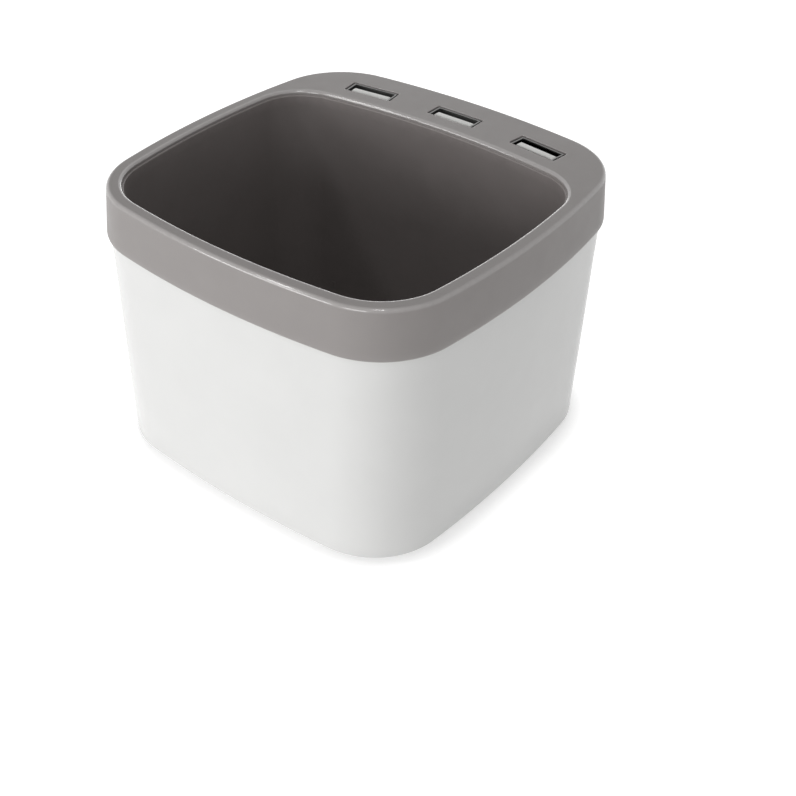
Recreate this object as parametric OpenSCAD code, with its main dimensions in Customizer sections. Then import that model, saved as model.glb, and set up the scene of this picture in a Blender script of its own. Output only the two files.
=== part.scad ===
// Desk cup with a three-port hub in its rim. The origin is at the centre of the footprint,
// on the surface it stands on. +Z is up, -Y is the front and the shelf with the sockets is at +Y.

/* [Body] */
// Width over the rim, left to right
body_w = 104; // [98:0.5:114]
// Depth over the rim, front to back
body_d = 104; // [98:0.5:114]
// Height from the table to the top of the rim
body_h = 74; // [66:0.5:86]
// Radius of the gentle bulge of all four sides
side_r = 230; // [200:1:300]
// Radius of the four upright corners at the rim
corner_r = 21.5; // [19:0.5:25]

/* [Rim frame] */
// Height of the grey band
rim_h = 13; // [11:0.1:15]
// Wall of the band
rim_t = 2; // [1.8:0.1:2.4]
// How much the band narrows from its lower edge to the top
rim_draft = 0.8; // [0.4:0.1:1]
// Radius of the outer top edge
rim_top_r = 1; // [0.6:0.1:1.6]
// Radius of the outer lower edge
rim_low_r = 0.9; // [0.5:0.1:1.1]
// Width of the top beside and in front of the pocket
ledge_w = 3.7; // [3.3:0.1:4.8]
// Depth of the shelf behind the pocket
shelf_d = 18.2; // [18:0.1:19.6]
// Thickness of the top plate
top_t = 2; // [1.8:0.1:2.4]
// Depth of the opening's upright edge above the pocket
mouth_h = 1.2; // [0.9:0.1:1.4]
// Radius of the opening's upper edge
mouth_r = 0.35; // [0.2:0.05:0.5]
// Radius of the opening's two back corners
opening_r = 14; // [10:0.5:15]

/* [White shell] */
// Wall of the shell
shell_t = 2; // [1.8:0.1:2.2]
// Step from the rim band in to the shell
shell_step = 0.9; // [0.7:0.1:1.1]
// How much the shell narrows on each side down to its foot
shell_taper = 2; // [1:0.1:2.6]
// Thickness of the floor
shell_floor_t = 2.2; // [2:0.1:3]
// Radius of the shell's lower edge
shell_edge_r = 1; // [0.5:0.1:1.6]
// Radius between the shell's wall and floor, inside
shell_floor_r = 2.5; // [1.5:0.5:3.5]
// Height of the lip that stands up inside the rim band
lip_h = 3; // [2:0.5:4]
// Clearance between the lip and the rim band
lip_gap = 0.1; // [0.05:0.05:0.2]

/* [Pocket] */
// Wall of the pocket
pocket_t = 1.6; // [1.4:0.1:1.8]
// Height of the pocket's floor above the table
pocket_floor_z = 9.6; // [9.4:0.1:14]
// Thickness of the pocket's floor
pocket_floor_t = 1.6; // [1.4:0.1:2]
// Step from the rim opening in to the pocket wall
pocket_step = 0.4; // [0.3:0.05:0.6]
// How much the pocket narrows on each side down to its floor
pocket_draft = 2.4; // [1.6:0.1:3]
// Radius between the pocket's wall and floor
pocket_floor_r = 4; // [2:0.5:5]
// Clearance around the pocket in the rim's rebate
pocket_gap = 0.1; // [0.05:0.05:0.2]

/* [Feet and floor screws] */
// Diameter of a rubber foot
foot_dia = 10; // [8:0.5:12]
// Thickness of a foot
foot_t = 1.8; // [1.6:0.1:2.2]
// Chamfer of a foot's lower edge
foot_c = 0.3; // [0.1:0.1:0.5]
// How far a foot stands out below the shell
foot_proud = 0.8; // [0.6:0.1:1]
// Clearance around a foot in its recess
foot_gap = 0.2; // [0.1:0.05:0.3]
// Distance from the rim's sides to the centre of a foot
foot_inset = 20.5; // [19:0.5:23]
// Diameter of the pad above a foot
pad_dia = 9; // [8.5:0.5:11]
// Height of the pad above the floor
pad_h = 1.4; // [1.2:0.1:2]
// Diameter of the floor screws' heads
screw_head_dia = 4.6; // [4:0.1:5]
// Thickness of the floor screws' heads
screw_head_t = 1.2; // [1:0.1:1.3]
// Diameter of the floor screws' shanks
screw_dia = 2.2; // [2:0.1:2.6]
// Length of the floor screws below the head
screw_len = 4.6; // [4:0.1:4.8]
// Floor left between a screw's head and the pocket's boss
clamp_t = 1.2; // [1:0.1:1.3]
// Diameter of the pocket's screw bosses
boss_dia = 7; // [6:0.5:8]
// Radial clearance around the screws
screw_gap = 0.15; // [0.1:0.05:0.2]

/* [Sockets] */
// Distance between neighbouring sockets, along the shelf's curve
socket_pitch = 26.6; // [24:0.2:27]
// Distance from the back of the rim to the middle of a socket
socket_back = 11.95; // [11.5:0.05:12.2]
// Width inside the socket's steel shell
socket_w = 12.5; // [12.4:0.05:12.6]
// Height inside the socket's steel shell
socket_h = 5.12; // [5.08:0.02:5.2]
// Length of a socket from the board to its mouth
socket_len = 14; // [13:0.5:15]
// Sheet thickness of the socket's shell
socket_t = 0.3; // [0.25:0.05:0.35]
// Inner radius of the bends of the socket's shell
bend_r = 0.2; // [0.1:0.05:0.3]
// Width of a socket's spring fingers
spring_w = 1.6; // [1.2:0.1:1.8]
// Length of a spring finger
spring_l = 4.2; // [3:0.1:4.6]
// How far a spring finger leans into the socket
spring_in = 0.4; // [0.2:0.05:0.5]
// Gap round a spring finger in its window
spring_gap = 0.25; // [0.2:0.05:0.4]
// Width of the legs that pin the shell to the board
leg_w = 1.6; // [1.2:0.1:2]
// Clearance of the board's slot around a leg
leg_gap = 0.25; // [0.15:0.05:0.3]
// Width of the flared edge round the mouth
flare_w = 0.4; // [0.3:0.05:0.5]
// Thickness of the flared edge
flare_t = 0.4; // [0.3:0.05:0.5]
// Distance of the mouth below the top of the shelf
socket_drop = 0.2; // [0:0.05:0.5]
// Clearance between the flared edge and the cut-out
cutout_gap = 0.1; // [0.05:0.05:0.2]
// Width of the tongue
tongue_w = 11.1; // [11:0.05:11.2]
// Thickness of the tongue
tongue_t = 1.84; // [1.8:0.02:1.9]
// Distance of the tongue's tip below the mouth
tongue_drop = 0.8; // [0.5:0.1:1.2]
// Gap between the tongue and the back wall of the shell
tongue_back = 0.65; // [0.6:0.05:0.75]
// Chamfer of the tongue's tip corners
tongue_c = 0.7; // [0.4:0.1:1]
// Height of the insulator's block on the board
block_h = 3.6; // [3:0.2:5]
// Clearance around the insulator's block
block_gap = 0.05; // [0.03:0.01:0.08]
// Width of the contact strips
contact_w = 1; // [0.9:0.05:1.1]
// Thickness of the contact strips
contact_t = 0.25; // [0.2:0.05:0.3]
// Distance of the contacts' ends below the tongue's tip
contact_drop = 0.9; // [0.6:0.1:1.2]

/* [Board] */
// Thickness of the board
board_t = 1.6; // [1.4:0.1:1.8]
// Depth of the board, front to back
board_d = 14; // [13.6:0.1:14.2]
// Distance from the back of the rim to the board's edge
board_back = 3.7; // [3.6:0.05:3.9]
// Length of the board beyond the outer sockets' centres
board_over = 8.4; // [7.6:0.1:8.6]
// Chamfer of the board's back corners
board_c = 2.5; // [2:0.1:3.5]
// How far pins stand out below the board
pin_out = 1.2; // [0.8:0.1:1.4]
// Distance from the back of the rim to the board's screws
board_screw_back = 6.4; // [6.2:0.1:6.8]
// Diameter of the shelf's bosses that carry the board
hang_dia = 5; // [4.6:0.1:5.4]
// Diameter of the board screws' shanks
board_screw_dia = 2; // [1.8:0.1:2.2]
// Diameter of the board screws' heads
board_head_dia = 3.8; // [3.4:0.1:4]
// Thickness of the board screws' heads
board_head_t = 1.2; // [1:0.1:1.4]
// Length of the board screws below the head
board_screw_len = 7; // [5:0.5:8]

/* [Board components] */
// Length of the hub chip's body
chip_l = 9.9; // [9:0.1:10.4]
// Width of the hub chip's body
chip_w = 3.9; // [3.6:0.1:4.2]
// Height of the hub chip's body
chip_h = 1.5; // [1.2:0.1:1.8]
// Number of leads on each side of the hub chip
chip_leads = 14; // [8:1:14]
// Distance between the hub chip's leads
lead_pitch = 0.65; // [0.6:0.01:0.68]
// Width of a lead
lead_w = 0.24; // [0.2:0.02:0.3]
// Thickness of a lead
lead_t = 0.15; // [0.1:0.01:0.2]
// Distance from the chip's body to a lead's bend
lead_out = 0.5; // [0.4:0.05:0.6]
// Length of a lead's foot on the board
lead_foot = 0.55; // [0.4:0.05:0.7]
// Gap between the chip's body and the board
chip_stand = 0.1; // [0.05:0.05:0.15]
// Length of the crystal's can
crystal_l = 10.2; // [9:0.1:10.8]
// Width of the crystal's can
crystal_w = 3.8; // [3.4:0.1:4.2]
// Height of the crystal's can
crystal_h = 3.2; // [2.6:0.1:3.6]
// Distance from the back of the rim to the chip and the crystal
chip_back = 13.6; // [13.2:0.1:13.8]
// Diameter of the capacitors
cap_dia = 5; // [4:0.1:5]
// Height of the capacitors
cap_h = 5.4; // [4.6:0.1:6]
// Distance from the back of the rim to the capacitors
cap_back = 6.35; // [6.3:0.05:6.5]

/* [Cable inlet] */
// Width over the inlet's steel shell
inlet_w = 7.5; // [7.4:0.05:7.6]
// Height over the inlet's steel shell
inlet_h = 2.75; // [2.7:0.05:2.85]
// Length of the inlet
inlet_l = 5; // [4.6:0.1:5.2]
// Sheet thickness of the inlet's shell
inlet_t = 0.25; // [0.2:0.05:0.3]
// Gap between the inlet's mouth and the shell's wall
inlet_gap = 0.15; // [0.1:0.05:0.25]
// Clearance of the wall's slot around the inlet
inlet_slot_gap = 0.4; // [0.3:0.05:0.5]
// Width of the recess around the inlet
recess_w = 11.6; // [11:0.2:13]
// Height of the recess around the inlet
recess_h = 6.4; // [6:0.1:6.8]
// Radius of the recess's corners
recess_r = 1.4; // [0.8:0.1:2]
// Wall left behind the recess
recess_wall = 0.8; // [0.7:0.05:1]
// Radius of the corners of the slot in that wall
slot_r = 0.8; // [0.4:0.1:1.2]

/* [Hidden] */
e = 0.01;

// Segments of a corner arc and of a side arc
nc = 12;
ns = 6;

half_w = body_w / 2;
half_d = body_d / 2;
// Height of the joint between the rim and the shell
seam_z = body_h - rim_h;
shell_z = foot_proud;
floor_z = shell_z + shell_floor_t;
// Offset of the opening from the body's outline, at the sides and at the shelf
open_in = rim_draft + ledge_w;
shelf_in = rim_draft + shelf_d;
pocket_top = body_h - mouth_h;
pocket_low = pocket_floor_z - pocket_floor_t;
// Centre of the back's arc, which the shelf, the sockets and the board follow
arc_y = half_d - side_r;
deg = 180 / PI;

mouth_z = body_h - socket_drop;
board_top = mouth_z - socket_len;
board_low = board_top - board_t;
tongue_y = socket_h / 2 - tongue_back - tongue_t / 2;
// Height of the spring fingers' roots above the board
spring_z = socket_len * 0.5;
shell_w = socket_w + 2 * socket_t;
shell_h = socket_h + 2 * socket_t;
cut_w = socket_w + 2 * (socket_t + flare_w + cutout_gap);
cut_h = socket_h + 2 * (socket_t + cutout_gap) + flare_w;

foot_x = half_w - foot_inset;
foot_y = half_d - foot_inset;
recess_z = foot_t;
pad_top = floor_z + pad_h;
head_z = pad_top - clamp_t;

inlet_z = board_low - inlet_h / 2;
inlet_in = shell_off(inlet_z) + shell_t;
inlet_y = half_d - inlet_in - inlet_gap;

// Offset of the shell's outer face from the body's outline at height z
function shell_off(z) = shell_step + shell_taper * (seam_z - z) / (seam_z - shell_z);
// Inward offset of the pocket's inner face from the opening at height z
function pocket_off(z) = pocket_step + pocket_draft * (pocket_top - z) / (pocket_top - pocket_floor_z);

// Centre of the corner circle of radius r that touches a side circle (c1, r1) and an end circle (c2, r2)
function corner_at(c1, r1, c2, r2, sx, sy) =
    let (v = c2 - c1, d = norm(v), u = v / d, w = [-u[1], u[0]],
         a = (r1 * r1 - r2 * r2 + d * d) / (2 * d),
         h = sqrt(max(0, r1 * r1 - a * a)),
         p = c1 + u * a + w * h, q = c1 + u * a - w * h)
    (p[0] * sx + p[1] * sy > q[0] * sx + q[1] * sy) ? p : q;

function ang(v) = atan2(v[1], v[0]);
function arc(c, r, a0, a1, n, skip) =
    [for (i = [skip : n - skip]) let (t = a0 + (a1 - a0) * i / n) c + r * [cos(t), sin(t)]];

// Outline with four bulged sides and four round corners, counter-clockwise from the front right.
// a is half the width at y = 0, yf and yb are front and back, rs, rf and rb the side, front and
// back radii, cf and cb the front and back corner radii.
function outline(a, yf, yb, rs, rf, rb, cf, cb) =
    let (cr = [a - rs, 0], cl = [rs - a, 0], cfr = [0, yf + rf], cbk = [0, yb - rb],
         p1 = corner_at(cr, rs - cf, cfr, rf - cf, 1, -1),
         p2 = corner_at(cr, rs - cb, cbk, rb - cb, 1, 1),
         p3 = corner_at(cl, rs - cb, cbk, rb - cb, -1, 1),
         p4 = corner_at(cl, rs - cf, cfr, rf - cf, -1, -1))
    concat(
        arc(p1, cf, ang(p1 - cfr), ang(p1 - cr), nc, 0),
        arc(cr, rs, ang(p1 - cr), ang(p2 - cr), ns, 1),
        arc(p2, cb, ang(p2 - cr), ang(p2 - cbk), nc, 0),
        arc(cbk, rb, ang(p2 - cbk), ang(p3 - cbk), ns, 1),
        arc(p3, cb, ang(p3 - cbk), ang(p3 - cl), nc, 0),
        arc(cl, rs, ang(p3 - cl), ang(p4 - cl) + 360, ns, 1),
        arc(p4, cf, ang(p4 - cl), ang(p4 - cfr), nc, 0),
        arc(cfr, rf, ang(p4 - cfr), ang(p1 - cfr), ns, 1));

// The body's outline, moved in by off
function body_line(off) =
    outline(half_w - off, off - half_d, half_d - off, side_r - off, side_r - off, side_r - off,
            corner_r - off, corner_r - off);

// The opening's outline, moved in by g
function open_line(g) =
    outline(half_w - open_in - g, open_in + g - half_d, half_d - shelf_in - g,
            side_r - open_in - g, side_r - open_in - g, side_r - shelf_in - g,
            corner_r - open_in - g, opening_r - g);

function lift(line, z) = [for (p = line) [p[0], p[1], z]];

// Skin over a stack of rings with equal counts. A loop joins its last ring to its first;
// otherwise both ends are closed.
module skin(rings, loop = false) {
    n = len(rings[0]);
    m = len(rings);
    sides = [for (i = [0 : m - (loop ? 1 : 2)], j = [0 : n - 1])
        let (a = i * n + j, b = i * n + (j + 1) % n,
             c = ((i + 1) % m) * n + (j + 1) % n, d = ((i + 1) % m) * n + j)
        each [[a, d, c], [a, c, b]]];
    ends = loop ? [] : [[for (j = [0 : n - 1]) j], [for (j = [n - 1 : -1 : 0]) (m - 1) * n + j]];
    polyhedron([for (r = rings) each r], concat(sides, ends), convexity = 8);
}

// Upright block with round corners
module rounded_block(w, d, h, r) {
    translate([-w / 2 + r, -d / 2, 0])
        cube([w - 2 * r, d, h]);
    translate([-w / 2, -d / 2 + r, 0])
        cube([w, d - 2 * r, h]);
    for (x = [-1, 1], y = [-1, 1])
        translate([x * (w / 2 - r), y * (d / 2 - r), 0])
            cylinder(r = r, h = h, $fn = 32);
}

// Places children on the shelf's curve: s is the distance along it, back the distance from the rim
module on_curve(s, back) {
    translate([0, arc_y, 0])
        rotate([0, 0, -s / (side_r - back) * deg])
            translate([0, side_r - back, 0])
                children();
}

module at_socket(i) {
    on_curve(i * socket_pitch, socket_back)
        children();
}

module at_foot(i, j) {
    translate([i * foot_x, j * foot_y, 0])
        children();
}

module outer_shell() {
    er = shell_edge_r;
    fr = shell_floor_r;
    lip_out = rim_t + lip_gap;
    lip_in = shell_step + shell_t;
    color("white")
        difference() {
            union() {
                skin([
                    for (t = [0 : 22.5 : 90])
                        lift(body_line(shell_off(shell_z + er) + er * (1 - sin(t))),
                             shell_z + er * (1 - cos(t))),
                    lift(body_line(shell_step), seam_z),
                    lift(body_line(lip_out), seam_z),
                    lift(body_line(lip_out), seam_z + lip_h),
                    lift(body_line(lip_in), seam_z + lip_h),
                    lift(body_line(lip_in), seam_z),
                    for (t = [0 : 30 : 90])
                        lift(body_line(shell_off(floor_z + fr) + shell_t + fr * (1 - cos(t))),
                             floor_z + fr * (1 - sin(t)))
                ]);
                for (i = [-1, 1], j = [-1, 1])
                    at_foot(i, j)
                        translate([0, 0, floor_z - 0.5])
                            cylinder(d = pad_dia, h = pad_h + 0.5, $fn = 48);
            }
            for (i = [-1, 1], j = [-1, 1])
                at_foot(i, j) {
                    cylinder(d = foot_dia + 2 * foot_gap, h = recess_z, $fn = 64);
                    cylinder(d = screw_head_dia + 2 * screw_gap, h = head_z, $fn = 48);
                    cylinder(d = screw_dia + 2 * screw_gap, h = pad_top + 1, $fn = 48);
                }
            // Recess and slot for the cable inlet
            translate([0, half_d - inlet_in + recess_wall, inlet_z])
                rotate([-90, 0, 0])
                    rounded_block(recess_w, recess_h, 10, recess_r);
            translate([0, half_d - inlet_in - 2, inlet_z])
                rotate([-90, 0, 0])
                    rounded_block(inlet_w + 2 * inlet_slot_gap, inlet_h + 2 * inlet_slot_gap, 10, slot_r);
        }
}

module rim() {
    tr = rim_top_r;
    lr = rim_low_r;
    rebate = pocket_t - pocket_step + pocket_gap;
    color([0.53, 0.51, 0.5])
        difference() {
            union() {
                skin([
                    lift(body_line(rim_t), seam_z),
                    for (t = [0 : 30 : 90])
                        lift(body_line(lr * (1 - sin(t))), seam_z + lr * (1 - cos(t))),
                    for (t = [0 : 15 : 90])
                        lift(body_line(rim_draft + tr * (1 - cos(t))), body_h - tr * (1 - sin(t))),
                    for (t = [0 : 30 : 90])
                        lift(open_line(-mouth_r * (1 - sin(t))), body_h - mouth_r * (1 - cos(t))),
                    lift(open_line(0), body_h - mouth_h),
                    lift(open_line(-rebate), body_h - mouth_h),
                    lift(open_line(-rebate), body_h - top_t),
                    lift(body_line(rim_t), body_h - top_t)
                ], true);
                // Bosses that carry the board
                for (i = [-0.5, 0.5])
                    on_curve(i * socket_pitch, board_screw_back)
                        translate([0, 0, board_top])
                            cylinder(d = hang_dia, h = body_h - board_top - top_t / 2, $fn = 48);
            }
            for (i = [-1, 0, 1])
                at_socket(i)
                    translate([0, 0, body_h - top_t - 1])
                        rounded_block(cut_w, cut_h, top_t + 2, 0.5);
            for (i = [-0.5, 0.5])
                on_curve(i * socket_pitch, board_screw_back)
                    translate([0, 0, board_top - 1])
                        cylinder(d = board_screw_dia, h = board_screw_len, $fn = 48);
        }
}

module pocket() {
    fr = pocket_floor_r;
    color([0.45, 0.43, 0.42])
        difference() {
            union() {
                skin([
                    for (t = [0 : 30 : 90])
                        lift(open_line(pocket_off(pocket_low + fr) - pocket_t + fr * (1 - sin(t))),
                             pocket_low + fr * (1 - cos(t))),
                    lift(open_line(pocket_step - pocket_t), pocket_top)
                ]);
                // Screw bosses
                for (i = [-1, 1]) {
                    at_foot(i, -1)
                        translate([0, 0, pad_top])
                            cylinder(d = boss_dia, h = pocket_low - pad_top + 1, $fn = 48);
                    at_foot(i, 1)
                        translate([0, 0, pad_top])
                            cylinder(d = boss_dia, h = pocket_low - pad_top + 8, $fn = 48);
                }
            }
            skin([
                for (t = [0 : 18 : 90])
                    lift(open_line(pocket_off(pocket_floor_z + fr) + fr * (1 - sin(t))),
                         pocket_floor_z + fr * (1 - cos(t))),
                for (t = [0 : 30 : 60])
                    lift(open_line(pocket_step * cos(t)), pocket_top - pocket_step * (1 - sin(t))),
                lift(open_line(0), pocket_top),
                lift(open_line(0), pocket_top + 1)
            ]);
            for (i = [-1, 1], j = [-1, 1])
                at_foot(i, j)
                    translate([0, 0, pad_top - 1])
                        cylinder(d = screw_dia, h = head_z + screw_len + 0.4 - pad_top + 1, $fn = 48);
        }
}

// Rubber disc with a chamfered lower edge
module foot(i, j) {
    r = foot_dia / 2;
    c = foot_c;
    color([0.2, 0.2, 0.2])
        at_foot(i, j)
            rotate_extrude($fn = 64)
                polygon([[0, 0], [r - c, 0], [r, c], [r, foot_t], [0, foot_t]]);
}

// Pan-head screw with a cross recess, its head's bearing face at z = 0 and its shank upwards
module screw(head_dia, head_t, dia, length) {
    r = head_dia / 2;
    c = head_t / 4;
    slot_w = head_dia / 7;
    slot_l = head_dia * 0.6;
    slot_depth = head_t * 0.6;
    difference() {
        rotate_extrude($fn = 48)
            polygon([[0, -head_t], [r - c, -head_t], [r, c - head_t], [r, 0],
                     [dia / 2, 0], [dia / 2, length - dia / 2], [0, length]]);
        for (a = [0, 90])
            rotate([0, 0, a])
                translate([-slot_l / 2, -slot_w / 2, -head_t - 1])
                    cube([slot_l, slot_w, 1 + slot_depth]);
    }
}

module body_screw(i, j) {
    color("silver")
        at_foot(i, j)
            translate([0, 0, head_z])
                screw(screw_head_dia, screw_head_t, screw_dia, screw_len);
}

module board_screw(i) {
    color("silver")
        on_curve(i * socket_pitch / 2, board_screw_back)
            translate([0, 0, board_low])
                screw(board_head_dia, board_head_t, board_screw_dia, board_screw_len);
}

// Spring finger of the wall at y = side * socket_h / 2, rooted at the window's lower edge
module spring_finger(side) {
    low = board_top + spring_z;
    face = socket_h / 2;
    translate([-spring_w / 2, 0, 0])
        rotate([90, 0, 90])
            linear_extrude(spring_w)
                polygon([for (p = [[socket_t, -spring_gap - 0.3], [socket_t, 0],
                                   [socket_t - spring_in, spring_l * 0.75], [socket_t, spring_l],
                                   [0, spring_l], [-spring_in, spring_l * 0.75],
                                   [0, 0], [0, -spring_gap - 0.3]])
                         [side * (face + p[0]), low + p[1]]]);
}

// Steel shell of a socket, mouth up, with a flared edge, four spring fingers and two legs
module socket_shell(i) {
    color([0.7, 0.7, 0.7])
        at_socket(i) {
            difference() {
                union() {
                    translate([0, 0, board_top])
                        rounded_block(shell_w, shell_h, socket_len, bend_r + socket_t);
                    translate([0, 0, mouth_z - flare_t])
                        rounded_block(shell_w + 2 * flare_w, shell_h + flare_w, flare_t, bend_r + socket_t);
                }
                translate([0, 0, board_top - 1])
                    rounded_block(socket_w, socket_h, socket_len + 2, bend_r);
                for (x = [-1, 1])
                    translate([x * socket_w / 4 - spring_w / 2 - spring_gap, -shell_h,
                               board_top + spring_z - spring_gap])
                        cube([spring_w + 2 * spring_gap, 2 * shell_h, spring_l + 2 * spring_gap]);
            }
            for (x = [-1, 1], side = [-1, 1])
                translate([x * socket_w / 4, 0, 0])
                    spring_finger(side);
            for (x = [-1, 1])
                translate([x * (socket_w + socket_t) / 2 - socket_t / 2, -leg_w / 2, board_low - pin_out])
                    cube([socket_t, leg_w, board_t + pin_out + 0.5]);
        }
}

// White insulator: a block in the foot of the shell, and the tongue that stands up from it
module socket_tongue(i) {
    w = tongue_w / 2;
    tip = mouth_z - tongue_drop;
    color([0.93, 0.93, 0.91])
        at_socket(i)
            difference() {
                union() {
                    translate([0, 0, board_top])
                        rounded_block(socket_w - 2 * block_gap, socket_h - 2 * block_gap, block_h, bend_r);
                    translate([0, tongue_y + tongue_t / 2, 0])
                        rotate([90, 0, 0])
                            linear_extrude(tongue_t)
                                polygon([[-w, board_top + 1], [w, board_top + 1], [w, tip - tongue_c],
                                         [w - tongue_c, tip], [tongue_c - w, tip], [-w, tip - tongue_c]]);
                }
                contact_strips(contact_w, board_top - 1, board_top + block_h);
            }
}

// Four strips against the tongue's front face, from z0 to z1
module contact_strips(w, z0, z1) {
    for (x = [-3.5, -1, 1, 3.5])
        translate([x - w / 2, tongue_y - tongue_t / 2 - contact_t, z0])
            cube([w, contact_t, z1 - z0]);
}

module socket_contacts(i) {
    color([0.85, 0.7, 0.35])
        at_socket(i) {
            contact_strips(contact_w, board_top, mouth_z - tongue_drop - contact_drop);
            contact_strips(contact_w * 0.6, board_low - pin_out, board_top + 0.5);
        }
}

// Board between two arcs that follow the back, with chamfered back corners
module hub_board() {
    r1 = side_r - board_back;
    r0 = r1 - board_d;
    a = (socket_pitch + board_over) / (side_r - socket_back) * deg;
    c = board_c / r1 * deg;
    pin_y = tongue_y - tongue_t / 2 - contact_t / 2;
    color([0.1, 0.4, 0.2])
        difference() {
            translate([0, arc_y, board_low])
                linear_extrude(board_t)
                    polygon(concat(
                        [for (t = [-a + c : (a - c) / 6 : a - c + e]) r1 * [sin(t), cos(t)]],
                        [(r1 - board_c) * [sin(a), cos(a)]],
                        [for (t = [a : -a / 6 : -a - e]) r0 * [sin(t), cos(t)]],
                        [(r1 - board_c) * [sin(-a), cos(a)]]));
            for (i = [-1, 0, 1])
                at_socket(i) {
                    for (x = [-3.5, -1, 1, 3.5])
                        translate([x, pin_y, board_low - 1])
                            cylinder(d = contact_w, h = board_t + 2, $fn = 24);
                    for (x = [-1, 1])
                        translate([x * (socket_w + socket_t) / 2 - socket_t / 2 - leg_gap,
                                   -leg_w / 2 - leg_gap, board_low - 1])
                            cube([socket_t + 2 * leg_gap, leg_w + 2 * leg_gap, board_t + 2]);
                }
            for (i = [-0.5, 0.5])
                on_curve(i * socket_pitch, board_screw_back)
                    translate([0, 0, board_low - 1])
                        cylinder(d = board_screw_dia + 2 * screw_gap, h = board_t + 2, $fn = 48);
        }
}

// Lead of the chip: out of the body's middle, up to the board and outwards along it
module chip_lead() {
    mid = -chip_stand - chip_h / 2;
    rotate([90, 0, 90])
        linear_extrude(lead_w, center = true)
            polygon([[-0.1, mid - lead_t / 2], [lead_out, mid - lead_t / 2], [lead_out, -lead_t],
                     [lead_out + lead_foot, -lead_t], [lead_out + lead_foot, 0], [lead_out - lead_t, 0],
                     [lead_out - lead_t, mid + lead_t / 2], [-0.1, mid + lead_t / 2]]);
}

// Chip on the board's underside, with leads on both long sides
module hub_chip() {
    color([0.12, 0.12, 0.12])
        on_curve(-socket_pitch / 2, chip_back)
            translate([0, 0, board_low]) {
                translate([-chip_l / 2, -chip_w / 2, -chip_stand - chip_h])
                    cube([chip_l, chip_w, chip_h]);
                for (k = [0 : chip_leads - 1], side = [0, 180])
                    rotate([0, 0, side])
                        translate([(k - (chip_leads - 1) / 2) * lead_pitch, chip_w / 2, 0])
                            chip_lead();
            }
}

// Crystal in a can with round ends on a thin base
module crystal() {
    flange = 0.3;
    flange_t = 0.5;
    color("silver")
        on_curve(socket_pitch / 2, chip_back) {
            translate([0, 0, board_low - crystal_h]) {
                translate([(crystal_w - crystal_l) / 2, -crystal_w / 2, 0])
                    cube([crystal_l - crystal_w, crystal_w, crystal_h]);
                for (x = [-1, 1])
                    translate([x * (crystal_l - crystal_w) / 2, 0, 0])
                        cylinder(d = crystal_w, h = crystal_h, $fn = 32);
            }
            translate([-crystal_l / 2 - flange, -crystal_w / 2 - flange, board_low - flange_t])
                cube([crystal_l + 2 * flange, crystal_w + 2 * flange, flange_t]);
        }
}

// Round capacitor with a groove near its foot
module capacitor(i) {
    r = cap_dia / 2;
    color([0.2, 0.25, 0.45])
        on_curve(i * socket_pitch, cap_back)
            translate([0, 0, board_low])
                rotate([180, 0, 0])
                    rotate_extrude($fn = 48)
                        polygon([[0, 0], [r, 0], [r, 0.8], [r - 0.25, 1], [r, 1.2],
                                 [r, cap_h - 0.3], [r - 0.3, cap_h], [0, cap_h]]);
}

function inlet_profile(g) =
    let (w = inlet_w / 2 - g, h = inlet_h / 2 - g, k = 0.15)
    [[-w, h], [w, h], [w, -k], [w - 1, -h], [1 - w, -h], [-w, -k]];

// Steel shell of the inlet on the board's underside, mouth towards the back
module inlet_shell() {
    color([0.7, 0.7, 0.7])
        translate([0, inlet_y, inlet_z])
            rotate([90, 0, 0])
                difference() {
                    linear_extrude(inlet_l)
                        polygon(inlet_profile(0));
                    translate([0, 0, -1])
                        linear_extrude(inlet_l - inlet_t + 1)
                            polygon(inlet_profile(inlet_t));
                }
}

// Insulator of the inlet: a block at the back of its shell and a thin tongue
module inlet_tongue() {
    color([0.1, 0.1, 0.1])
        translate([0, inlet_y, inlet_z])
            rotate([90, 0, 0]) {
                translate([0, 0, inlet_l - inlet_t - 1])
                    linear_extrude(1)
                        polygon(inlet_profile(inlet_t));
                translate([-1.85, 0.15, 0.6])
                    cube([3.7, 0.6, inlet_l - inlet_t - 0.6]);
            }
}

outer_shell();
rim();
pocket();
foot(-1, -1);  // foot_fl
foot(1, -1);  // foot_fr
foot(-1, 1);  // foot_bl
foot(1, 1);  // foot_br
body_screw(-1, -1);  // body_screw_fl
body_screw(1, -1);  // body_screw_fr
body_screw(-1, 1);  // body_screw_bl
body_screw(1, 1);  // body_screw_br
socket_shell(-1);  // socket_shell_left
socket_shell(0);  // socket_shell_mid
socket_shell(1);  // socket_shell_right
socket_tongue(-1);  // socket_tongue_left
socket_tongue(0);  // socket_tongue_mid
socket_tongue(1);  // socket_tongue_right
socket_contacts(-1);  // socket_contacts_left
socket_contacts(0);  // socket_contacts_mid
socket_contacts(1);  // socket_contacts_right
hub_board();
hub_chip();
crystal();
capacitor(-1);  // capacitor_left
capacitor(1);  // capacitor_right
inlet_shell();
inlet_tongue();
board_screw(-1);  // board_screw_left
board_screw(1);  // board_screw_right
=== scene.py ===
"""Desk cup with three upright sockets in its rim.

Moulded surfaces, finishes, light and camera around the solid model. All lengths are in metres,
+Z is up, -Y is the front and the shelf with the sockets is at +Y.
"""
import math

import bmesh
import bpy
import numpy as np
from bpy.props import FloatProperty, FloatVectorProperty, PointerProperty
from mathutils import Matrix, Vector
from mathutils.geometry import tessellate_polygon


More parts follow.
